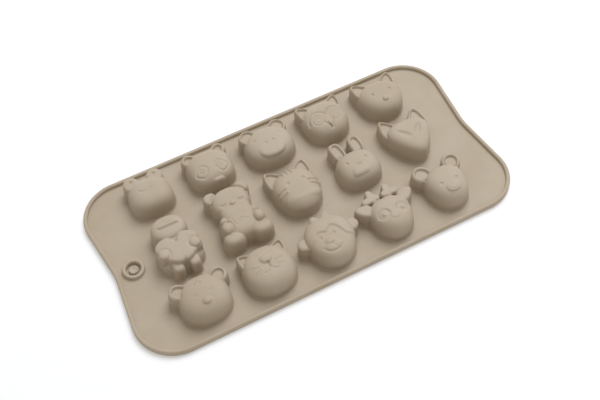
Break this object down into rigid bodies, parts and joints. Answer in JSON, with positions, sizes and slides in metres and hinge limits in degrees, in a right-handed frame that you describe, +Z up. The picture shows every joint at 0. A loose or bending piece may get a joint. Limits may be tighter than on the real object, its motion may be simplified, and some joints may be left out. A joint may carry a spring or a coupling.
{
  "type": "silicone chocolate mould",
  "caption": "Flexible silicone chocolate mould, fill face down: rimmed flat sheet with rows of hollow animal-face cups and a ring boss at one end.",
  "frame": {"origin": "middle of the fill face, which lies on the table", "axes": "+X along the length, away from the ring boss; +Y across it, towards the row of the frog and the owl; +Z up, out of the cups' crowns"},
  "size_m": [0.2152, 0.11, 0.0145],
  "materials": {
    "silicone": "matte moulded silicone, taupe"
  },
  "bodies": {
    "root": {"web_sheet": "silicone", "rim_bead": "silicone", "hang_ring": "silicone", "cup_frog": "silicone", "cup_panda": "silicone", "cup_hippo": "silicone", "cup_owl": "silicone", "cup_kitten": "silicone", "cup_heart_frog": "silicone", "cup_sitting_bear": "silicone", "cup_tiger": "silicone", "cup_rabbit": "silicone", "cup_fox": "silicone", "cup_bear_cub": "silicone", "cup_cat": "silicone", "cup_monkey": "silicone", "cup_deer": "silicone", "cup_koala": "silicone"}
  },
  "joints": []
}
